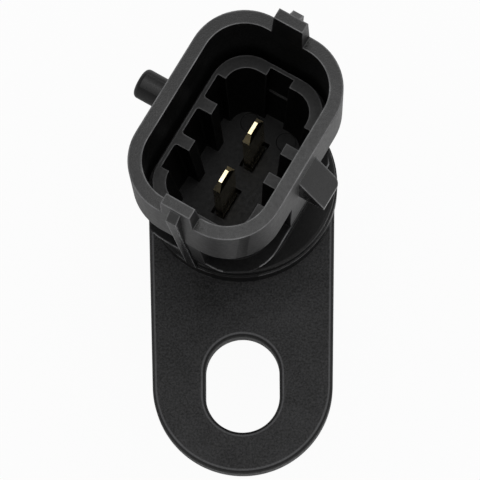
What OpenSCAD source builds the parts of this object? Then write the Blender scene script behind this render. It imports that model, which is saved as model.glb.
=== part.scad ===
// Inductive crankshaft position sensor: a probe with a slotted flange plate and a two-pole plug socket.
// Origin: where the probe axis meets the underside of the plate. +Z points out of the socket,
// the slot lies towards -Y, and the probe reaches down along -Z.

/* [Flange plate] */
// Thickness of the stamped plate
plate_t = 2; // [1.5:0.1:3.5]
// Radius of the plate's end round the probe
plate_head_r = 9.6; // [9.2:0.1:12]
// Radius of the plate's end round the slot
plate_tail_r = 9.1; // [7:0.1:10]
// Distance from the probe axis to the middle of the slot
slot_reach = 20.4; // [19:0.1:30]
// Width of the adjusting slot
slot_w = 7.45; // [5:0.05:9]
// Length of the adjusting slot from end to end
slot_len = 9.8; // [9.2:0.1:12]

/* [Collar and neck] */
// Radius of the collar that rests on the plate
collar_r = 9.85; // [9.6:0.05:11]
// Height of the collar
collar_h = 3; // [2.5:0.1:5]
// Rounded edge of the collar
collar_edge = 0.25; // [0.1:0.05:0.8]
// Height of the fine step round the collar
collar_split = 1.9; // [0.5:0.1:2]
// How far the collar stays inside above that step
collar_step = 0.2; // [0.05:0.05:0.4]
// Diameter of the boss that passes through the plate
boss_d = 15; // [14:0.1:16]
// Width across the two flats of that boss
boss_flats = 13.4; // [12.5:0.1:13.8]
// Length of the foot where it stands on the collar
foot_l = 19; // [18.4:0.1:19.4]
// Width of the foot where it stands on the collar
foot_w = 14.2; // [13.6:0.05:15]
// Corner radius of the foot on the collar
foot_r = 6; // [4:0.1:6.5]
// Height of the ledge on top of the foot, above the plate
ledge_h = 8; // [6.5:0.1:10]
// Length of the ledge
ledge_l = 20.5; // [20:0.1:21]
// Width of the ledge
ledge_w = 15.1; // [14.4:0.05:15.4]
// Corner radius of the ledge
ledge_r = 4.75; // [3.5:0.05:6]
// Width across the two flats that trim the foot to the plate's width
foot_flats = 17.9; // [17.6:0.1:19.5]
// Length of the waist where it rises from the ledge
waist_l = 18; // [17.6:0.1:19.5]
// Width of the waist where it rises from the ledge
waist_w = 12.8; // [12.2:0.1:14]
// Corner radius of the waist
waist_r = 4.2; // [3:0.1:5.5]
// How far the waist's top stays inside the socket's outline
waist_inset = 0.35; // [0.2:0.05:0.5]
// How far the end ribs reach sideways from the middle of the fins
end_rib_reach = 2.05; // [1.2:0.05:2.5]
// Width of the ribs below the latch and the peg
side_rib_w = 5.55; // [3.5:0.05:6]
// How far the ribs stay inside the ledge and the socket's wall
rib_inset = 0.06; // [0.04:0.01:0.2]
// How deep the ribs sink into the ledge and the socket
rib_sink = 0.2; // [0.1:0.05:0.25]

/* [Socket] */
// Direction of the socket's long axis, from +X
socket_turn = 59.3; // [0:0.1:90]
// Outer length of the socket
socket_l = 21.8; // [21.2:0.1:24]
// Outer width of the socket
socket_w = 15.5; // [15:0.1:18]
// Outer corner radius of the socket
socket_r = 5.55; // [4:0.05:7]
// Wall of the socket
socket_wall = 1.35; // [1.1:0.05:1.6]
// Height of the rim above the plate
rim_h = 22.9; // [22:0.1:26]
// Height of the socket's lower edge above the plate
skirt_h = 15.7; // [14:0.1:17]
// Height of the socket's floor above the plate
floor_h = 4; // [3:0.1:6]

/* [Coded ring] */
// How far the ring lies below the rim
ring_drop = 7.75; // [6:0.05:10]
// Groove between the ring and the socket's wall
ring_gap = 0.55; // [0.4:0.05:0.8]
// Depth of that groove
ring_groove = 2.2; // [1:0.1:3]
// Thickness of the ring at its ends
ring_wall = 1.31; // [1.1:0.01:1.6]
// Thickness of the ring beside its pockets
pocket_wall = 0.42; // [0.35:0.01:0.6]
// Gap between the faces of facing teeth
tooth_gap = 7.8; // [7:0.1:8.4]
// Width of a tooth
tooth_w = 1.25; // [0.8:0.05:1.6]
// Radius in the roots of the teeth
tooth_root_r = 0.3; // [0.1:0.05:0.4]
// Width of the keyway in the ring's upper end
keyway_w = 2.55; // [1.5:0.05:3.5]
// Depth of the keyway's upper stretch
keyway_h = 5.15; // [2:0.05:8]
// Step in the keyway's end wall
keyway_step = 0.25; // [0.1:0.05:0.5]
// How far the ring's hollow draws in at its ends towards the floor
cavity_taper = 1; // [0.2:0.1:1.2]
// Diameter of the ejector marks on the floor
mark_d = 2; // [1:0.1:2]
// Depth of the ejector marks
mark_depth = 0.12; // [0.05:0.01:0.3]
// Distance of the ejector marks from the socket's middle, along it
mark_reach = 5.6; // [5:0.1:5.8]
// Distance between the ejector marks
mark_pitch = 4.2; // [3.5:0.1:4.4]

/* [Tabs, latch and peg] */
// Width of an end tab at its top
tab_w = 3.1; // [2.5:0.1:4]
// Width of an end tab at the rim
tab_foot_w = 3.4; // [2.8:0.1:4.4]
// Thickness of an end tab at its top
tab_t = 1.1; // [0.8:0.05:1.3]
// Height of an end tab above the rim
tab_h = 3.45; // [2:0.05:5]
// Width of the fin on the outside of a tab
fin_w = 1.15; // [0.8:0.05:2]
// How far the fin stands out from the tab at its top
fin_reach = 0.9; // [0.4:0.1:1.5]
// How far the fin stands out from the collar at its foot
fin_foot_reach = 0.1; // [0.05:0.05:0.6]
// How far the fin reaches down over the collar
fin_wrap = 1; // [0.3:0.1:1.8]
// How far the fin's top lies below the tab's top
fin_drop = 0.5; // [0.3:0.1:3]
// Slope of the fin's top, as a fall over its reach
fin_slope = 0.9; // [0.1:0.1:1]
// Width of the latch wedge
latch_w = 3.15; // [2.5:0.05:5]
// How far the latch stands out from the wall
latch_reach = 2.75; // [1.5:0.05:3.5]
// Distance from the rim to the start of the latch's ramp
latch_drop = 2.35; // [1:0.05:3]
// Height of the latch from its catch to the start of its ramp
latch_h = 4.4; // [3:0.1:5]
// Thickness of the latch's outer edge
latch_lip = 0.5; // [0.3:0.1:1]
// Radius of the latch's upper outer corner
latch_corner_r = 0.6; // [0.2:0.1:1]
// Diameter of the guide peg
peg_d = 3.05; // [2:0.05:4]
// How far the guide peg stands out from the wall
peg_reach = 3; // [1.5:0.1:4]
// Distance from the rim to the peg's axis
peg_drop = 3.85; // [2.5:0.05:5]
// Rounded edge of the guide peg
peg_edge = 0.45; // [0.1:0.05:0.8]

/* [Terminals] */
// Width of a terminal blade
blade_w = 2.8; // [2.2:0.1:3.2]
// Thickness of a terminal blade
blade_t = 0.8; // [0.6:0.05:1]
// Distance between the two blades
blade_pitch = 5.65; // [5:0.05:6]
// Height of a blade above the socket's floor
blade_h = 9.4; // [6:0.1:12]
// Length of the coined tip
tip_l = 1.2; // [0.6:0.1:2]
// Width of the flat at the tip
tip_w = 1.35; // [0.8:0.05:2]
// Thickness of the flat at the tip
tip_t = 0.36; // [0.2:0.02:0.5]
// Width of the terminal's tail inside the housing
tail_w = 1.6; // [1:0.1:2]
// How deep the tail sits in the coil former
tail_seat = 1.5; // [1:0.1:2]
// Length of the well round a blade's root
well_l = 3.4; // [3.3:0.05:4]
// Width of the well round a blade's root
well_w = 1.6; // [1.2:0.05:2.4]
// Depth of the well round a blade's root
well_d = 1.5; // [0.5:0.1:2]

/* [Probe] */
// Diameter of the probe
probe_d = 18; // [17:0.1:19]
// Length of the probe below the plate
probe_l = 24; // [23:0.5:40]
// Chamfer at the end of the probe
probe_chamfer = 1; // [0.4:0.1:1.5]
// Thickness of the sealing ring
seal_d = 2.4; // [2:0.1:2.6]
// Distance from the plate to the sealing ring's groove
seal_drop = 3; // [2:0.1:5]
// Width of the sealing ring's groove
seal_groove_w = 3; // [2.8:0.1:3.5]
// How far the sealing ring stands out of its groove
seal_proud = 0.45; // [0.2:0.05:0.6]

/* [Coil] */
// Diameter of the pole pin
pole_d = 5; // [3:0.1:6]
// Length of the pole pin
pole_l = 14; // [10:0.5:14]
// Diameter of the magnet
magnet_d = 8; // [7:0.1:9]
// Length of the magnet
magnet_l = 6; // [3:0.1:6]
// Wall of the coil former round the pole pin
former_wall = 0.8; // [0.5:0.05:1.2]
// Diameter of the coil former's flanges
former_flange_d = 13; // [11.5:0.1:14]
// Thickness of the coil former's flanges
former_flange_t = 1; // [0.6:0.1:1.5]
// Wall of the coil former's cup round the magnet
cup_wall = 1.2; // [0.8:0.1:1.3]
// Thickness of the roof over the magnet
cup_roof = 2.6; // [2.3:0.1:3]
// Outer diameter of the winding
winding_d = 12; // [10:0.1:12.4]
// Thickness of the probe's end round the pole pin
end_wall = 1.2; // [0.8:0.1:2]
// Clearance between pieces that are moulded or pressed together
fit_gap = 0.05; // [0.02:0.01:0.1]

/* [Hidden] */

$fn = 72;
loft_fn = 48;
slice = 0.01;
cut = 1;

housing_color = "#333335";
plate_color = "#1e1e20";
brass_color = "#c8a85c";
rubber_color = "#141414";
former_color = "#4a4a4e";
copper_color = "#b06a35";
iron_color = "#8b8d90";
magnet_color = "#5c5d61";

// Heights above the plate's underside
collar_z = plate_t + collar_h;
ledge_z = plate_t + ledge_h;
skirt_z = plate_t + skirt_h;
rim_z = plate_t + rim_h;
floor_z = plate_t + floor_h;
ring_z = rim_z - ring_drop;
groove_z = ring_z - ring_groove;
tab_z = rim_z + tab_h;
fin_z = tab_z - fin_drop;
latch_top_z = rim_z - latch_drop;
latch_z = latch_top_z - latch_h;
peg_z = rim_z - peg_drop;
blade_z = floor_z + blade_h;
well_z = floor_z - well_d;

// Half lengths and half widths of the socket's outlines
wall_u = socket_l / 2;
wall_w = socket_w / 2;
bore_l = socket_l - 2 * socket_wall;
bore_w = socket_w - 2 * socket_wall;
bore_r = socket_r - socket_wall;
ring_l = bore_l - 2 * ring_gap;
ring_w = bore_w - 2 * ring_gap;
ring_r = bore_r - ring_gap;
cavity_l = ring_l - 2 * ring_wall;
cavity_w = ring_w - 2 * ring_wall;
cavity_r = ring_r - ring_wall;
pocket_w = ring_w / 2 - pocket_wall;
keyway_u = ring_l / 2 - pocket_wall;
cavity_d = ring_z - floor_z;
draft = 2 * cavity_taper / cavity_l / cavity_d;

// Coding: where the pockets end and where the teeth stand, along the socket
peg_side_pockets = [-5.4, 5.4];
peg_side_teeth = [-2.1, 2.15];
latch_side_pockets = [-3.9, 4.9];
latch_side_teeth = [-1.25, 2.05];

// Stack inside the probe
tip_z = -probe_l;
former_z = tip_z + end_wall;
pole_z = tip_z + pole_l;
magnet_z = pole_z + magnet_l;
cup_z = magnet_z + cup_roof;
tail_z = cup_z - tail_seat;
cup_r = magnet_d / 2 + fit_gap + cup_wall;
former_r = pole_d / 2 + fit_gap + former_wall;
shoulder_z = plate_t;
probe_r = probe_d / 2;
seal_top_z = -seal_drop;
seal_r = probe_r + seal_proud - seal_d / 2;
seal_floor_r = seal_r - seal_d / 2 - fit_gap;

// Turns the socket's own axes (x along, y across) into place
module in_socket() {
    rotate(socket_turn) children();
}

// Extrudes an outline drawn in (across, up) along the socket
module along(thickness) {
    rotate([90, 0, 90]) linear_extrude(thickness, center = true) children();
}

// Extrudes an outline drawn in (along, up) across the socket
module across(thickness) {
    rotate([90, 0, 0]) linear_extrude(thickness, center = true) children();
}

// Extrudes an outline between two heights
module between(z0, z1) {
    translate([0, 0, z0]) linear_extrude(z1 - z0) children();
}

module rounded_rect(l, w, r) {
    square([l - 2 * r, w], center = true);
    square([l, w - 2 * r], center = true);
    for (x = [-1, 1], y = [-1, 1])
        translate([x * (l / 2 - r), y * (w / 2 - r)]) circle(r);
}

// Slot or blade outline: a rectangle centred on each terminal
module at_terminals() {
    for (side = [-1, 1]) translate([side * blade_pitch / 2, 0]) children();
}

// Flange plate

module plate_outline() {
    lean = (plate_head_r - plate_tail_r) / slot_reach;
    normal = [sqrt(1 - lean * lean), -lean];
    // The flanks lie a hair inside the tangents, so that they cross the two circles cleanly
    head = (plate_head_r - slice) * normal;
    tail = (plate_tail_r - slice) * normal - [0, slot_reach];
    circle(plate_head_r);
    translate([0, -slot_reach]) circle(plate_tail_r);
    polygon([head, [-head.x, head.y], [-tail.x, tail.y], tail]);
}

module slot_outline() {
    bend = (slot_len - slot_w) / 2;
    translate([0, -slot_reach]) {
        square([slot_w, 2 * bend], center = true);
        for (side = [-1, 1]) translate([0, side * bend]) circle(slot_w / 2);
    }
}

module boss_outline(gap) {
    intersection() {
        circle(boss_d / 2 + gap);
        square([boss_flats + 2 * gap, boss_d + cut], center = true);
    }
}

module flange_plate() {
    color(plate_color) difference() {
        between(0, plate_t) plate_outline();
        between(-cut, plate_t + cut) slot_outline();
        between(-cut, plate_t + cut) boss_outline(fit_gap);
    }
}

// Housing

module collar() {
    upper = collar_r - collar_step;
    rotate_extrude() {
        translate([0, plate_t]) square([collar_r, collar_split]);
        translate([0, plate_t]) square([upper, collar_h - collar_edge]);
        translate([0, plate_t]) square([upper - collar_edge, collar_h]);
        translate([upper - collar_edge, collar_z - collar_edge]) circle(collar_edge);
    }
}

// Rounded block that changes from one outline to another: each is [length, width, corner radius, height]
module loft(low, high) {
    hull() {
        between(low[3] - slice, low[3]) rounded_rect(low[0], low[1], low[2], $fn = loft_fn);
        between(high[3], high[3] + slice) rounded_rect(high[0], high[1], high[2], $fn = loft_fn);
    }
}

module neck() {
    ledge = [ledge_l, ledge_w, ledge_r, ledge_z - slice];
    top = [socket_l - 2 * waist_inset, socket_w - 2 * waist_inset, socket_r - waist_inset, skirt_z];
    intersection() {
        loft([foot_l, foot_w, foot_r, collar_z], ledge);
        rotate(-socket_turn) between(plate_t, skirt_z) square([foot_flats, ledge_l + cut], center = true);
    }
    loft([waist_l, waist_w, waist_r, ledge_z], top);
}

// Rib profile: fills the step between the ledge and the socket's lower edge, a hair inside both
module rib_profile(ledge, wall, inner) {
    low_z = ledge_z - rib_sink;
    high_z = skirt_z + rib_sink;
    polygon([[inner, low_z], [ledge - rib_inset, low_z], [wall - rib_inset, high_z], [inner, high_z]]);
}

module ribs() {
    end_rib_w = end_rib_reach + fin_w / 2;
    for (side = [0, 180]) rotate(side) {
        translate([0, end_rib_reach - end_rib_w / 2, 0]) across(end_rib_w)
            rib_profile(ledge_l / 2, wall_u, waist_l / 2 - waist_inset);
        along(side_rib_w) rib_profile(ledge_w / 2, wall_w, waist_w / 2 - waist_inset);
    }
}

module end_tab() {
    inner = wall_u - socket_wall;
    root_z = rim_z - slice;
    intersection() {
        across(tab_foot_w)
            polygon([[inner, root_z], [wall_u, root_z], [wall_u, tab_z], [wall_u - tab_t, tab_z], [inner, rim_z]]);
        translate([wall_u - socket_wall / 2, 0, 0]) along(socket_wall)
            polygon([[-tab_foot_w / 2, root_z], [tab_foot_w / 2, root_z], [tab_foot_w / 2, rim_z],
                     [tab_w / 2, tab_z], [-tab_w / 2, tab_z], [-tab_foot_w / 2, rim_z]]);
    }
}

module fin() {
    foot = collar_r + fin_foot_reach;
    foot_z = collar_z - fin_wrap;
    inner = foot - fin_w;
    tab_inner = wall_u - tab_t / 2;
    across(fin_w)
        polygon([[inner, foot_z], [foot, foot_z], [wall_u + fin_reach, fin_z - fin_slope], [wall_u, fin_z],
                 [tab_inner, fin_z], [tab_inner, rim_z], [inner, skirt_z]]);
}

module latch() {
    root = wall_w - socket_wall / 2;
    edge = wall_w + latch_reach;
    intersection() {
        along(latch_w)
            polygon([[-root, latch_z], [-edge, latch_z], [-edge, latch_z + latch_lip],
                     [-wall_w, latch_top_z], [-root, latch_top_z]]);
        between(latch_z - cut, latch_top_z + cut) {
            translate([-latch_w / 2, -edge]) square([latch_w - latch_corner_r, edge]);
            translate([-latch_w / 2, latch_corner_r - edge]) square([latch_w, edge]);
            translate([latch_w / 2 - latch_corner_r, latch_corner_r - edge]) circle(latch_corner_r);
        }
    }
}

module peg() {
    root = wall_w - socket_wall / 2;
    length = peg_reach + socket_wall / 2;
    translate([0, root, peg_z]) rotate([-90, 0, 0]) rotate_extrude() {
        square([peg_d / 2, length - peg_edge]);
        square([peg_d / 2 - peg_edge, length]);
        translate([peg_d / 2 - peg_edge, length - peg_edge]) circle(peg_edge);
    }
}

module probe_shell() {
    rotate_extrude()
        polygon([[0, 0], [probe_r, 0], [probe_r, seal_top_z], [seal_floor_r, seal_top_z],
                 [seal_floor_r, seal_top_z - seal_groove_w], [probe_r, seal_top_z - seal_groove_w],
                 [probe_r, tip_z + probe_chamfer], [probe_r - probe_chamfer, tip_z], [0, tip_z]]);
}

module socket_body() {
    between(skirt_z, rim_z) rounded_rect(socket_l, socket_w, socket_r);
    for (side = [0, 180]) rotate(side) {
        end_tab();
        fin();
    }
    latch();
    peg();
    ribs();
    neck();
}

// Teeth of one side: they reach from the ring to the gap between the facing teeth
module teeth(places) {
    reach = pocket_w + cut - tooth_gap / 2;
    for (u = places) translate([u - tooth_w / 2, tooth_gap / 2]) {
        square([tooth_w, reach]);
        for (side = [0, 1]) translate([side * tooth_w, pocket_w - tooth_gap / 2]) difference() {
            translate([-tooth_root_r, -tooth_root_r]) square([2 * tooth_root_r, tooth_root_r + cut]);
            translate([(2 * side - 1) * tooth_root_r, -tooth_root_r]) circle(tooth_root_r);
        }
    }
}

module pockets(span, places) {
    difference() {
        translate([span[0], 0]) square([span[1] - span[0], pocket_w]);
        teeth(places);
    }
}

module keyway(reach) {
    translate([0, -keyway_w / 2]) square([reach, keyway_w]);
}

module ring_cavity() {
    difference() {
        rounded_rect(cavity_l, cavity_w, cavity_r);
        teeth(peg_side_teeth);
        mirror([0, 1]) teeth(latch_side_teeth);
    }
    pockets(peg_side_pockets, peg_side_teeth);
    mirror([0, 1]) pockets(latch_side_pockets, latch_side_teeth);
    keyway(keyway_u - keyway_step);
}

// Sinks an outline into the ring's top with the mould's draft
module sunk(depth) {
    translate([0, 0, ring_z + slice]) mirror([0, 0, 1])
        linear_extrude(depth + slice, scale = 1 - draft * depth) children();
}

module socket_hollow() {
    between(ring_z, rim_z + cut) rounded_rect(bore_l, bore_w, bore_r);
    between(groove_z, ring_z + slice) difference() {
        rounded_rect(bore_l, bore_w, bore_r);
        rounded_rect(ring_l, ring_w, ring_r);
    }
    sunk(cavity_d) ring_cavity();
    sunk(keyway_h) keyway(keyway_u);
    between(floor_z - mark_depth, floor_z + slice)
        for (side = [-1, 1]) translate([mark_reach, side * mark_pitch / 2]) circle(mark_d / 2);
    between(well_z, floor_z + slice) at_terminals() square([well_l, well_w], center = true);
    between(shoulder_z, well_z + slice) at_terminals()
        square([blade_w + 2 * fit_gap, blade_t + 2 * fit_gap], center = true);
    between(cup_z - slice, shoulder_z + slice) at_terminals()
        square([tail_w + 2 * fit_gap, blade_t + 2 * fit_gap], center = true);
}

module coil_hollow() {
    pole_hole = pole_d / 2 + fit_gap;
    flange = former_flange_d / 2 + fit_gap;
    winding = winding_d / 2 + fit_gap;
    cup = cup_r + fit_gap;
    rotate_extrude()
        polygon([[0, tip_z - cut], [pole_hole, tip_z - cut], [pole_hole, former_z], [flange, former_z],
                 [flange, former_z + former_flange_t], [winding, former_z + former_flange_t],
                 [winding, pole_z - former_flange_t], [flange, pole_z - former_flange_t],
                 [flange, pole_z], [cup, pole_z], [cup, cup_z], [0, cup_z]]);
}

module housing() {
    color(housing_color) difference() {
        union() {
            probe_shell();
            between(-slice, plate_t + slice) boss_outline(0);
            collar();
            in_socket() socket_body();
        }
        in_socket() socket_hollow();
        coil_hollow();
    }
}

// Terminals

module terminal(side) {
    coin_z = blade_z - tip_l;
    color(brass_color) in_socket() translate([side * blade_pitch / 2, 0, 0]) intersection() {
        across(blade_t)
            polygon([[-tail_w / 2, tail_z], [tail_w / 2, tail_z], [tail_w / 2, shoulder_z],
                     [blade_w / 2, shoulder_z], [blade_w / 2, coin_z], [tip_w / 2, blade_z],
                     [-tip_w / 2, blade_z], [-blade_w / 2, coin_z], [-blade_w / 2, shoulder_z],
                     [-tail_w / 2, shoulder_z]]);
        along(blade_w)
            polygon([[-blade_t / 2, tail_z], [blade_t / 2, tail_z], [blade_t / 2, coin_z],
                     [tip_t / 2, blade_z], [-tip_t / 2, blade_z], [-blade_t / 2, coin_z]]);
    }
}

module terminal_a() {
    terminal(1);
}

module terminal_b() {
    terminal(-1);
}

// Seal and coil

module o_ring() {
    color(rubber_color) translate([0, 0, seal_top_z - seal_groove_w / 2])
        rotate_extrude() translate([seal_r, 0]) circle(seal_d / 2);
}

module coil_bobbin() {
    bore = pole_d / 2 + fit_gap;
    magnet_bore = magnet_d / 2 + fit_gap;
    flange = former_flange_d / 2;
    color(former_color) difference() {
        rotate_extrude()
            polygon([[bore, former_z], [flange, former_z], [flange, former_z + former_flange_t],
                     [former_r, former_z + former_flange_t], [former_r, pole_z - former_flange_t],
                     [flange, pole_z - former_flange_t], [flange, pole_z], [cup_r, pole_z], [cup_r, cup_z],
                     [0, cup_z], [0, magnet_z], [magnet_bore, magnet_z], [magnet_bore, pole_z], [bore, pole_z]]);
        in_socket() between(tail_z, cup_z + cut) at_terminals()
            square([tail_w + 2 * fit_gap, blade_t + 2 * fit_gap], center = true);
    }
}

module coil_winding() {
    color(copper_color) between(former_z + former_flange_t, pole_z - former_flange_t) difference() {
        circle(winding_d / 2);
        circle(former_r + fit_gap);
    }
}

module pole_pin() {
    color(iron_color) between(tip_z, pole_z) circle(pole_d / 2);
}

module magnet() {
    color(magnet_color) between(pole_z, magnet_z) circle(magnet_d / 2);
}

housing();
flange_plate();
terminal_a();
terminal_b();
o_ring();
coil_bobbin();
coil_winding();
pole_pin();
magnet();
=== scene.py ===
"""Crankshaft position sensor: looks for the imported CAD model."""

import math

import bmesh
import bpy
from mathutils import Matrix, Vector


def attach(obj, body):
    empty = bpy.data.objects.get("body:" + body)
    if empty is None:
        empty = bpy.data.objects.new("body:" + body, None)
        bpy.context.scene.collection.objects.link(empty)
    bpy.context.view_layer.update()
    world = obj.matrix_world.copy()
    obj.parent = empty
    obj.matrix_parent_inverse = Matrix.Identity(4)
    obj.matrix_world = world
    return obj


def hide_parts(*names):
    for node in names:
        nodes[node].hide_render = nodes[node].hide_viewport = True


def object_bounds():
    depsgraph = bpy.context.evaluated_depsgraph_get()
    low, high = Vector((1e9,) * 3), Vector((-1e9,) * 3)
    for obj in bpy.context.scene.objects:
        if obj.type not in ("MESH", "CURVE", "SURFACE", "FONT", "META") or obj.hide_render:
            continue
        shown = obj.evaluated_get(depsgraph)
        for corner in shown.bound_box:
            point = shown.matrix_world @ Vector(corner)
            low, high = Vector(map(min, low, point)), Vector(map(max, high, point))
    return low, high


MM = 0.001
FRAME_PX = 480

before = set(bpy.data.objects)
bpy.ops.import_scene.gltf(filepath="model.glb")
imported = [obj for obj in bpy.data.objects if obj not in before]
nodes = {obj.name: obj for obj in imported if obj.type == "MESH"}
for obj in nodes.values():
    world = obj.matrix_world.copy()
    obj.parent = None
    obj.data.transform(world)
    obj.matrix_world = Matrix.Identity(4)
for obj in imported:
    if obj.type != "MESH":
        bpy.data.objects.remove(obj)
cad_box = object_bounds()


# Node helpers


def new_material(name):
    mat = bpy.data.materials.new(name)
    mat.use_nodes = True
    tree = mat.node_tree
    tree.nodes.clear()
    out = tree.nodes.new("ShaderNodeOutputMaterial")
    shader = tree.nodes.new("ShaderNodeBsdfPrincipled")
    tree.links.new(shader.outputs["BSDF"], out.inputs["Surface"])
    return mat, tree, shader


def add(tree, kind, inputs=None, **settings):
    node = tree.nodes.new(kind)
    for key, value in settings.items():
        setattr(node, key, value)
    for key, value in (inputs or {}).items():
        if isinstance(value, bpy.types.NodeSocket):
            tree.links.new(value, node.inputs[key])
        else:
            node.inputs[key].default_value = value
    return node


def noise(tree, coords, size, detail=3.0, rough=0.55):
    """Noise whose features are about size metres wide."""
    inputs = {"Vector": coords, "Scale": 1.0 / size, "Detail": detail, "Roughness": rough}
    return add(tree, "ShaderNodeTexNoise", inputs).outputs["Fac"]


def ramp(tree, factor, stops):
    """Colour ramp from (position, colour) pairs."""
    node = add(tree, "ShaderNodeValToRGB", {"Fac": factor})
    elements = node.color_ramp.elements
    while len(elements) < len(stops):
        elements.new(0.5)
    for element, (position, colour) in zip(elements, stops):
        element.position = position
        element.color = colour if len(colour) == 4 else (*colour, 1.0)
    return node.outputs["Color"]


def map_range(tree, factor, source, target, **settings):
    """Maps a factor from one range of numbers to another."""
    inputs = {"Value": factor, "From Min": source[0], "From Max": source[1], "To Min": target[0], "To Max": target[1]}
    return add(tree, "ShaderNodeMapRange", inputs, **settings).outputs["Result"]


def spread(tree, factor, low, high):
    """Maps the middle of a noise, where most of it lies, to a range of numbers."""
    return map_range(tree, factor, (0.3, 0.7), (low, high))


def math_node(tree, operation, a, b):
    return add(tree, "ShaderNodeMath", {0: a, 1: b}, operation=operation).outputs[0]


def vector_value(tree, operation, *inputs):
    node = add(tree, "ShaderNodeVectorMath", dict(enumerate(inputs)), operation=operation)
    return node.outputs["Value"]


def object_coords(tree):
    return add(tree, "ShaderNodeTexCoord").outputs["Object"]


def edge_mask(tree, radius):
    """About 1 along outer edges, and 0 on flat faces and in inner corners."""
    bevel = add(tree, "ShaderNodeBevel", {"Radius": radius}, samples=8)
    true_normal = add(tree, "ShaderNodeNewGeometry").outputs["Normal"]
    agreement = vector_value(tree, "DOT_PRODUCT", bevel.outputs["Normal"], true_normal)
    mask = map_range(tree, agreement, (0.99, 0.82), (0.0, 1.0))
    sky = add(tree, "ShaderNodeAmbientOcclusion", {"Distance": 2 * radius}, samples=8, only_local=True)
    outer = map_range(tree, sky.outputs["AO"], (0.6, 0.95), (0.0, 1.0))
    return math_node(tree, "MULTIPLY", mask, outer)


# Materials

HIGHLIGHT_AND_WEAR_WIDTH = 0.36 * MM
EDGE_RADIUS = 0.12 * MM
# Sets how far apart the winding's ridges are
WAVE_SIZE = 1.89 * MM


def moulded_plastic(name, dark, light, edge_highlight_and_wear, rough, grain, grain_strength, gloss):
    """Moulded plastic: fine grain, faint flow marks, and outer edges painted lighter, a painted highlight that also
    stands for wear.
    """
    mat, tree, shader = new_material(name)
    coords = object_coords(tree)
    cloud = noise(tree, coords, 3 * MM, detail=5)
    speck = noise(tree, coords, 0.16 * MM, detail=2)
    tone = add(tree, "ShaderNodeMix", {"Factor": 0.6, "A": cloud, "B": speck}, data_type="FLOAT")
    colour = ramp(tree, tone.outputs[0], [(0.38, dark), (0.62, light)])
    # Painted highlight: outer edges are mixed towards a light colour, standing for the glint on rounded edges as well
    # as for wear
    mask = edge_mask(tree, HIGHLIGHT_AND_WEAR_WIDTH)
    patch = noise(tree, coords, 1.5 * MM)
    highlight_and_wear = math_node(tree, "MULTIPLY", mask, spread(tree, patch, 0.35, 1.0))
    mix = add(tree, "ShaderNodeMix", {"Factor": highlight_and_wear, "A": colour, "B": (*edge_highlight_and_wear, 1.0)}, data_type="RGBA")
    tree.links.new(mix.outputs[2], shader.inputs["Base Color"])
    sheen = noise(tree, coords, 0.4 * MM, detail=5)
    tree.links.new(spread(tree, sheen, rough - 0.06, rough + 0.06), shader.inputs["Roughness"])
    fine = noise(tree, coords, grain, detail=2)
    bevel = add(tree, "ShaderNodeBevel", {"Radius": EDGE_RADIUS}, samples=8)
    bump = add(tree, "ShaderNodeBump", {"Height": fine, "Strength": grain_strength, "Distance": 0.05 * MM,
                                        "Normal": bevel.outputs["Normal"]})
    tree.links.new(bump.outputs["Normal"], shader.inputs["Normal"])
    shader.inputs["Specular IOR Level"].default_value = gloss
    return mat


def coated_steel():
    """Black coating with a fine orange-peel texture on stamped steel, with a painted highlight line where its edge
    starts to roll and painted shade on the roll.
    """
    mat, tree, shader = new_material("coated_steel")
    coords = object_coords(tree)
    cloud = noise(tree, coords, 5 * MM, detail=5)
    speck = noise(tree, coords, 0.22 * MM, detail=3, rough=0.7)
    tone = add(tree, "ShaderNodeMix", {"Factor": 0.7, "A": cloud, "B": speck}, data_type="FLOAT")
    colour = ramp(tree, tone.outputs[0], [(0.38, (0.001, 0.001, 0.0011)), (0.62, (0.034, 0.034, 0.0352))])
    facing = add(tree, "ShaderNodeTexCoord").outputs["Normal"]
    upward = add(tree, "ShaderNodeSeparateXYZ", {"Vector": facing}).outputs["Z"]
    black, painted_shade_level, painted_highlight_grey, white = (0.0, 0.0, 0.0), (0.1, 0.1, 0.1), (0.06, 0.06, 0.062), (1.0, 1.0, 1.0)
    # Painted highlight: a light line where the rolled edge begins. Painted shade: the colour scaled down on the roll
    # itself, by flat
    painted_highlight_line = ramp(tree, upward, [(0.85, black), (0.93, painted_highlight_grey), (0.985, painted_highlight_grey), (0.9995, black)])
    flat = ramp(tree, upward, [(0.0, white), (0.2, painted_shade_level), (0.85, painted_shade_level), (0.95, white)])
    painted_light_and_shade = add(tree, "ShaderNodeVectorMath", {0: colour, "Scale": flat}, operation="SCALE")
    painted_light_and_shade = add(tree, "ShaderNodeVectorMath", {0: painted_light_and_shade.outputs["Vector"], 1: painted_highlight_line}, operation="ADD")
    tree.links.new(painted_light_and_shade.outputs["Vector"], shader.inputs["Base Color"])
    sheen = noise(tree, coords, 0.3 * MM, detail=4)
    tree.links.new(spread(tree, sheen, 0.42, 0.58), shader.inputs["Roughness"])
    pits = noise(tree, coords, 0.6 * MM, detail=2)
    height = math_node(tree, "ADD", speck, pits)
    bump = add(tree, "ShaderNodeBump", {"Height": height, "Strength": 0.6, "Distance": 0.06 * MM})
    tree.links.new(bump.outputs["Normal"], shader.inputs["Normal"])
    shader.inputs["Specular IOR Level"].default_value = 0.28
    return mat


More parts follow.
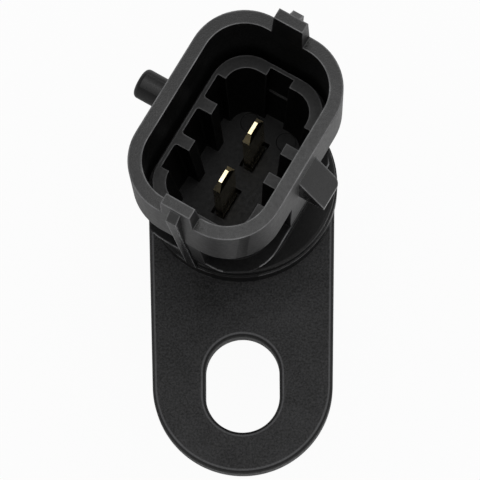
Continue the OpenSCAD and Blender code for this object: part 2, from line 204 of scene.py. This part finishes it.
def metal(name, low, high, rough):
    """Worked metal with fine lines drawn along Z."""
    mat, tree, shader = new_material(name)
    coords = object_coords(tree)
    drawn = add(tree, "ShaderNodeMapping", {"Vector": coords, "Scale": (1.0, 1.0, 0.08)}).outputs["Vector"]
    lines = noise(tree, drawn, 0.25 * MM, detail=4)
    colour = ramp(tree, noise(tree, coords, 1.2 * MM), [(0.35, low), (0.65, high)])
    tree.links.new(colour, shader.inputs["Base Color"])
    tree.links.new(spread(tree, lines, rough - 0.06, rough + 0.08), shader.inputs["Roughness"])
    bump = add(tree, "ShaderNodeBump", {"Height": lines, "Strength": 0.08, "Distance": 0.01 * MM})
    tree.links.new(bump.outputs["Normal"], shader.inputs["Normal"])
    shader.inputs["Metallic"].default_value = 1.0
    return mat


def wound_copper():
    """Enamelled wire: its turns shown as ridges along the axis, with painted shade darkening the grooves between
    them.
    """
    mat, tree, shader = new_material("wound_copper")
    coords = object_coords(tree)
    inputs = {"Vector": coords, "Scale": 1.0 / WAVE_SIZE, "Distortion": 0.4, "Detail": 1.0}
    wave = add(tree, "ShaderNodeTexWave", inputs, wave_type="BANDS", bands_direction="Z")
    # Painted shade: the colour follows the ridges' height, dark brown in the grooves and copper on the crests
    colour = ramp(tree, wave.outputs["Fac"], [(0.0, (0.19, 0.06, 0.02)), (1.0, (0.55, 0.22, 0.09))])
    tree.links.new(colour, shader.inputs["Base Color"])
    bump = add(tree, "ShaderNodeBump", {"Height": wave.outputs["Fac"], "Strength": 0.6, "Distance": 0.1 * MM})
    tree.links.new(bump.outputs["Normal"], shader.inputs["Normal"])
    tree.links.new(spread(tree, noise(tree, coords, 0.8 * MM), 0.25, 0.4), shader.inputs["Roughness"])
    shader.inputs["Metallic"].default_value = 0.85
    return mat


def seal_rubber():
    """Smooth black rubber."""
    mat, tree, shader = new_material("seal_rubber")
    coords = object_coords(tree)
    stops = [(0.35, (0.008, 0.008, 0.008)), (0.65, (0.014, 0.014, 0.0145))]
    tree.links.new(ramp(tree, noise(tree, coords, 1.5 * MM), stops), shader.inputs["Base Color"])
    tree.links.new(spread(tree, noise(tree, coords, 0.6 * MM), 0.45, 0.6), shader.inputs["Roughness"])
    grain = noise(tree, coords, 0.15 * MM)
    bump = add(tree, "ShaderNodeBump", {"Height": grain, "Strength": 0.1, "Distance": 0.03 * MM})
    tree.links.new(bump.outputs["Normal"], shader.inputs["Normal"])
    return mat


finishes = {
    "housing": moulded_plastic(
        "housing_plastic", dark=(0.001, 0.001, 0.0011), light=(0.012, 0.012, 0.0124), edge_highlight_and_wear=(0.27, 0.27, 0.275),
        rough=0.22, grain=0.14 * MM, grain_strength=0.15, gloss=0.42),
    "flange_plate": coated_steel(),
    "terminal_a": metal("terminal_brass", (0.78, 0.66, 0.4), (0.9, 0.8, 0.56), 0.2),
    "o_ring": seal_rubber(),
    "coil_bobbin": moulded_plastic(
        "former_plastic", dark=(0.05, 0.05, 0.053), light=(0.065, 0.065, 0.068), edge_highlight_and_wear=(0.1, 0.1, 0.1),
        rough=0.5, grain=0.2 * MM, grain_strength=0.1, gloss=0.5),
    "coil_winding": wound_copper(),
    "pole_pin": metal("pole_iron", (0.4, 0.4, 0.41), (0.52, 0.52, 0.53), 0.36),
    "magnet": metal("magnet_alloy", (0.2, 0.2, 0.21), (0.28, 0.28, 0.29), 0.5),
}
finishes["terminal_b"] = finishes["terminal_a"]
# Painted highlight: the coined brass is a little lighter than the terminal brass
coined_brass = metal("terminal_coined", (0.8, 0.68, 0.42), (0.92, 0.82, 0.58), 0.55)

for name, obj in nodes.items():
    obj.data.materials.clear()
    obj.data.materials.append(finishes[name])
    obj.data.polygons.foreach_set("material_index", [0] * len(obj.data.polygons))

# The tips of the terminals are pressed to shape, which leaves their slopes duller than the sheared top. The slopes
# are also painted a little lighter, a painted highlight
STEEPEST, FLATTEST = 0.2, 0.95
for name in ("terminal_a", "terminal_b"):
    blade = nodes[name].data
    blade.materials.append(coined_brass)
    for face in blade.polygons:
        face.material_index = 1 if STEEPEST < face.normal.z < FLATTEST else 0


# Plate: the punch rolls its edges, so a plate with rounded edges stands for the CAD's sharp one

PLATE_T, HEAD_R, TAIL_R, SLOT_REACH = 2.0 * MM, 9.6 * MM, 9.1 * MM, 20.4 * MM
SLOT_R, SLOT_BEND = 3.725 * MM, 1.175 * MM
BOSS_R, BOSS_HALF = 7.55 * MM, 6.75 * MM
ROLL, BURR, ROLL_STEPS, ARC_STEPS = 0.5 * MM, 0.12 * MM, 6, 96


def arc(place, radius, start, end):
    """Points of an arc about a centre on the plate's long axis."""
    angles = [start + (end - start) * i / ARC_STEPS for i in range(ARC_STEPS + 1)]
    return [(radius * math.cos(a), place + radius * math.sin(a)) for a in angles]


def plate_edge(inset):
    """The plate's outline, set in by inset from its edge. The slot and the hole for the boss grow by it."""
    lean = math.asin((HEAD_R - TAIL_R) / SLOT_REACH)
    return (arc(0, HEAD_R - inset, -lean, math.pi + lean)
            + arc(-SLOT_REACH, TAIL_R - inset, math.pi + lean, 2 * math.pi - lean))


def slot_edge(inset):
    return (arc(SLOT_BEND - SLOT_REACH, SLOT_R + inset, 0, math.pi)
            + arc(-SLOT_BEND - SLOT_REACH, SLOT_R + inset, math.pi, 2 * math.pi))


def boss_edge(inset):
    lean = math.acos(BOSS_HALF / BOSS_R)
    return (arc(0, BOSS_R + inset, lean, math.pi - lean)
            + arc(0, BOSS_R + inset, math.pi + lean, 2 * math.pi - lean))


def rolled_plate():
    """One closed mesh: walls with a rolled upper edge and a broken lower one, and two flat faces."""
    quarter = [math.pi / 2 * i / ROLL_STEPS for i in range(ROLL_STEPS + 1)]
    broken = [(BURR * (1 - math.sin(a)), BURR * (1 - math.cos(a))) for a in quarter]
    rolled = [(ROLL * (1 - math.cos(a)), PLATE_T - ROLL + ROLL * math.sin(a)) for a in quarter]
    bm = bmesh.new()
    ends = {0: [], -1: []}
    for outline, section in ((plate_edge, broken + rolled), (slot_edge, broken + rolled),
                             (boss_edge, [(0, 0), (0, PLATE_T)])):
        rings = [[bm.verts.new((x, y, z)) for x, y in outline(inset)] for inset, z in section]
        for low, high in zip(rings, rings[1:]):
            for i in range(len(low)):
                bm.faces.new((low[i - 1], low[i], high[i], high[i - 1])).smooth = True
        for end, edges in ends.items():
            ring = rings[end]
            edges.extend(bm.edges.get((ring[i - 1], ring[i])) for i in range(len(ring)))
    for edges in ends.values():
        bmesh.ops.triangle_fill(bm, edges=edges, use_beauty=True, use_dissolve=False)
    bmesh.ops.recalc_face_normals(bm, faces=bm.faces)
    mesh = bpy.data.meshes.new("stamped_plate")
    bm.to_mesh(mesh)
    bm.free()
    piece = bpy.data.objects.new("stamped_plate", mesh)
    bpy.context.collection.objects.link(piece)
    return piece


plate = rolled_plate()
plate.data.materials.append(finishes["flange_plate"])
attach(plate, "root")
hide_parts("flange_plate")

# Housing: five finishes, satin on its tops, fine on the coded ring and drawn on the outer walls. The dull finish on
# the neck and the fins and the matt one in the socket and round the peg are darker, painted shade on faces that lie
# in shadow or face away from the light

SATIN, DULL_SHADE, MATT_SHADE, FINE, DRAWN = range(5)
SOCKET_TURN = math.radians(59.3)
BORE_L, BORE_W = 19.1 * MM, 12.8 * MM
SOCKET_L, SOCKET_W, WAIST_W, FIN_W = 21.8 * MM, 15.5 * MM, 14.8 * MM, 1.15 * MM
RIM_Z, SKIRT_Z, RING_Z, LEDGE_Z = 24.9 * MM, 17.7 * MM, 17.15 * MM, 10.0 * MM
PEG_TIP, PEG_TOP = 10.25 * MM, 0.84
HAIR = 0.06 * MM
# A face points along an axis if more than FACING of its normal does, and is upright if less than UPRIGHT points up
FACING, UPRIGHT = 0.5, 0.05


def in_socket(v):
    """A point or direction in the socket's own axes: along, across and up."""
    return Matrix.Rotation(-SOCKET_TURN, 3, "Z") @ v


def inside(centre, length, width):
    """Whether a point in the socket's axes lies within a block about its middle."""
    return abs(centre.x) < length / 2 + HAIR and abs(centre.y) < width / 2 + HAIR


def housing_finish(centre, normal, top):
    """The finish of a face, from its middle and normal in the socket's axes and its highest point."""
    if PLATE_T < centre.z < RIM_Z - HAIR and inside(centre, BORE_L, BORE_W):
        return FINE if abs(centre.z - RING_Z) < HAIR else MATT_SHADE
    if centre.z > RIM_Z + HAIR and normal.x * centre.x < -FACING * abs(centre.x):
        return MATT_SHADE
    on_peg = centre.z > SKIRT_Z and centre.y > SOCKET_W / 2 + HAIR
    # Painted shade: the peg's end and its flanks below PEG_TOP take the darker matt finish, so only its top strip
    # stays satin
    if on_peg and (centre.y > PEG_TIP or normal.z < PEG_TOP):
        return MATT_SHADE
    if top < SKIRT_Z + HAIR:
        if centre.z < LEDGE_Z + HAIR:
            return DULL_SHADE
        return DRAWN if abs(centre.y) > WAIST_W / 2 else MATT_SHADE
    if abs(centre.x) > SOCKET_L / 2 + HAIR and abs(normal.z) < FACING:
        return DULL_SHADE
    on_fin = abs(centre.y) < FIN_W / 2 + HAIR and abs(normal.y) > FACING
    if abs(normal.z) < UPRIGHT and inside(centre, SOCKET_L, SOCKET_W) and not on_fin:
        return DRAWN
    return SATIN


housing = nodes["housing"]
# Painted shade: the dull and matt finishes have darker colours than satin, for the shade under the skirt, in the
# socket, on the fins' sides and on the peg's flanks
housing.data.materials.append(moulded_plastic(
    "housing_dull_shade", dark=(0.002, 0.002, 0.0021), light=(0.006, 0.006, 0.0062), edge_highlight_and_wear=(0.32, 0.32, 0.326),
    rough=0.4, grain=0.16 * MM, grain_strength=0.25, gloss=0.25))
housing.data.materials.append(moulded_plastic(
    "housing_matt_shade", dark=(0.0008, 0.0008, 0.0009), light=(0.005, 0.005, 0.0052), edge_highlight_and_wear=(0.03, 0.03, 0.031),
    rough=0.45, grain=0.16 * MM, grain_strength=0.25, gloss=0.24))
housing.data.materials.append(moulded_plastic(
    "housing_fine", dark=(0.001, 0.001, 0.0011), light=(0.01, 0.01, 0.0104), edge_highlight_and_wear=(0.16, 0.16, 0.164),
    rough=0.5, grain=0.16 * MM, grain_strength=0.2, gloss=0.55))
housing.data.materials.append(moulded_plastic(
    "housing_drawn", dark=(0.001, 0.001, 0.0011), light=(0.01, 0.01, 0.0104), edge_highlight_and_wear=(0.12, 0.12, 0.123),
    rough=0.5, grain=0.14 * MM, grain_strength=0.15, gloss=0.54))
points = housing.data.vertices
for face in housing.data.polygons:
    top = max(points[i].co.z for i in face.vertices)
    face.material_index = housing_finish(in_socket(face.center), in_socket(face.normal), top)


# Floor, light and camera

FLOOR_X, FLOOR_Y = (-0.15, 0.4), (-0.2, 0.14)
FLOOR_DROP = 0.02 * MM
PAINTED_SHADE_MIDDLE = (-0.03, -0.02, 0)
LIGHT_FROM = (0.12, -0.02, 1.0)
WHITE = (1.0, 1.0, 1.0, 1.0)


def seen_directly(tree):
    """The tree's light path, and 1 for camera and transmission rays."""
    rays = add(tree, "ShaderNodeLightPath").outputs
    return rays, math_node(tree, "MAXIMUM", rays["Is Camera Ray"], rays["Is Transmission Ray"])


def white_floor():
    """Pale floor that looks white, keeps some of the part's shadow, and is clear from below."""
    mat, tree, shader = new_material("floor_white")
    shader.inputs["Base Color"].default_value = (0.86, 0.86, 0.86, 1.0)
    shader.inputs["Roughness"].default_value = 0.9
    shader.inputs["Specular IOR Level"].default_value = 0.1
    glow = add(tree, "ShaderNodeEmission", {"Color": WHITE, "Strength": 1.0})
    rays, seen = seen_directly(tree)
    # Close to the part the camera sees a little of its shadow
    away = vector_value(tree, "LENGTH", object_coords(tree))
    fade = map_range(tree, away, (0.03, 0.12), (0.94, 1.0), interpolation_type="SMOOTHSTEP")
    plain = math_node(tree, "MULTIPLY", seen, fade)
    # Painted shade in reflections: the white glow that glossy rays see fades out close to PAINTED_SHADE_MIDDLE, a
    # point set off to one side of the part, so reflections show the floor darker there, on top of its real shadow,
    # and white further off
    reach = vector_value(tree, "DISTANCE", object_coords(tree), PAINTED_SHADE_MIDDLE)
    clear = map_range(tree, reach, (0.015, 0.1), (0.0, 0.9), interpolation_type="SMOOTHSTEP")
    gloss = math_node(tree, "MULTIPLY", rays["Is Glossy Ray"], clear)
    blend = add(tree, "ShaderNodeMixShader", {0: math_node(tree, "MAXIMUM", plain, gloss)})
    tree.links.new(shader.outputs["BSDF"], blend.inputs[1])
    tree.links.new(glow.outputs["Emission"], blend.inputs[2])
    behind = add(tree, "ShaderNodeNewGeometry").outputs["Backfacing"]
    one_sided = add(tree, "ShaderNodeMixShader", {0: behind})
    tree.links.new(blend.outputs["Shader"], one_sided.inputs[1])
    tree.links.new(add(tree, "ShaderNodeBsdfTransparent").outputs["BSDF"], one_sided.inputs[2])
    tree.links.new(one_sided.outputs["Shader"], tree.nodes["Material Output"].inputs["Surface"])
    return mat


def studio_world():
    """Soft light from overhead. What is seen directly, and mirrored near the horizon, is white."""
    world = bpy.data.worlds.new("studio")
    world.use_nodes = True
    tree = world.node_tree
    tree.nodes.clear()
    rays, seen = seen_directly(tree)
    ray = add(tree, "ShaderNodeTexCoord").outputs["Generated"]
    overhead = Vector(LIGHT_FROM).normalized()
    aligned = vector_value(tree, "DOT_PRODUCT", ray, overhead)
    focus = math_node(tree, "POWER", math_node(tree, "MAXIMUM", aligned, 0.0), 3.0)
    tent = map_range(tree, focus, (0.0, 1.0), (0.35, 1.2))
    low = map_range(tree, aligned, (0.5, 0.2), (0.0, 1.0))
    mirrored = math_node(tree, "MULTIPLY", rays["Is Glossy Ray"], low)
    white = math_node(tree, "MAXIMUM", seen, mirrored)
    level = map_range(tree, white, (0.0, 1.0), (tent, 1.0))
    sky = add(tree, "ShaderNodeBackground", {"Color": WHITE, "Strength": level})
    add(tree, "ShaderNodeOutputWorld", {"Surface": sky.outputs["Background"]})
    return world


sheet = bpy.data.meshes.new("floor")
(left, right), (front, back) = FLOOR_X, FLOOR_Y
corners = [(left, front, 0), (right, front, 0), (right, back, 0), (left, back, 0)]
sheet.from_pydata(corners, [], [(0, 1, 2, 3)])
floor = bpy.data.objects.new("floor", sheet)
floor.location.z = cad_box[0].z - FLOOR_DROP
bpy.context.collection.objects.link(floor)
floor.data.materials.append(white_floor())

bpy.context.scene.world = studio_world()


def softbox(name, place, target, size, watts):
    """A rectangular lamp that faces a point."""
    light = bpy.data.lights.new(name, "AREA")
    light.shape = "RECTANGLE"
    light.size, light.size_y = size
    light.energy = watts
    obj = bpy.data.objects.new(name, light)
    bpy.context.collection.objects.link(obj)
    obj.location = place
    obj.rotation_mode = "QUATERNION"
    obj.rotation_quaternion = (Vector(target) - Vector(place)).to_track_quat("-Z", "Y")


softbox("key_light", place=(0.015, 0.03, 0.2), target=(0.015, 0.03, 0), size=(0.07, 0.07), watts=0.02)

# Camera: place, pitch from straight down, turn about the vertical and roll, fitted to the photograph
eye = Vector((5.06, -67.42, 244.99)) * MM
pitch, turn, roll = math.radians(14.36), math.radians(-4.82), math.radians(-5.33)
FOCAL_PX, SENSOR = 2451, 36.0
side = Vector((1, 0, 0))
up = Vector((0, math.cos(pitch), math.sin(pitch)))
ahead = Vector((0, math.sin(pitch), -math.cos(pitch)))
cam_x = side * math.cos(roll) + up * math.sin(roll)
cam_y = up * math.cos(roll) - side * math.sin(roll)
axes = Matrix((cam_x, cam_y, -ahead)).transposed()
axes = Matrix.Rotation(-turn, 3, "Z") @ axes
cam_data = bpy.data.cameras.new("camera")
cam_data.sensor_fit = "HORIZONTAL"
cam_data.sensor_width = SENSOR
cam_data.lens = FOCAL_PX / FRAME_PX * SENSOR
cam_data.clip_start, cam_data.clip_end = 0.01, 10.0
camera = bpy.data.objects.new("camera", cam_data)
camera.matrix_world = Matrix.Translation(eye) @ axes.to_4x4()
bpy.context.collection.objects.link(camera)
bpy.context.scene.camera = camera

bpy.context.scene.view_settings.view_transform = "Standard"
